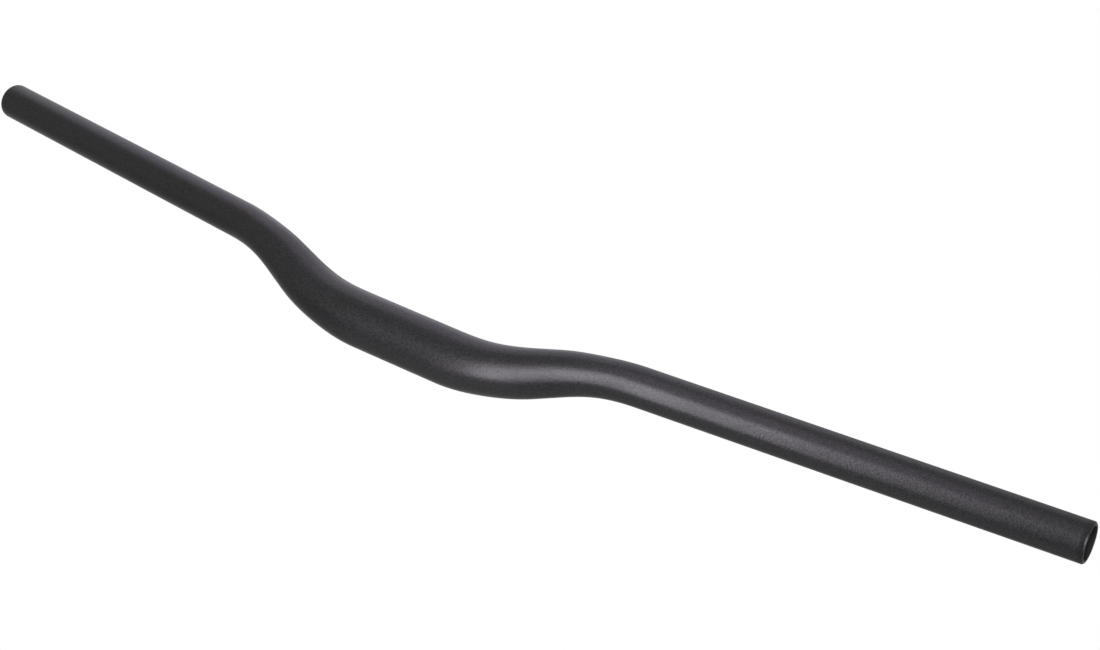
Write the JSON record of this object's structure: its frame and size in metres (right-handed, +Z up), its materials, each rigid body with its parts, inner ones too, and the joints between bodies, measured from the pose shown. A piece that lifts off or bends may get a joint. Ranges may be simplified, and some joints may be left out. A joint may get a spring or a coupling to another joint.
{
  "type": "riser handlebar",
  "caption": "Riser handlebar: one bent, tapered and butted alloy tube with a stem clamp area in the middle and raised, swept-back grip ends, open at the tips.",
  "frame": {"origin": "centre of the stem clamp, on the tube's axis", "axes": "+X along the clamp axis towards the rider's left, +Y back towards the rider, +Z up as mounted"},
  "size_m": [0.7834, 0.0644, 0.0748],
  "materials": {
    "anodised_tube": "bead-blasted and anodised black, satin"
  },
  "bodies": {
    "root": {"handlebar": "anodised_tube"}
  },
  "joints": []
}
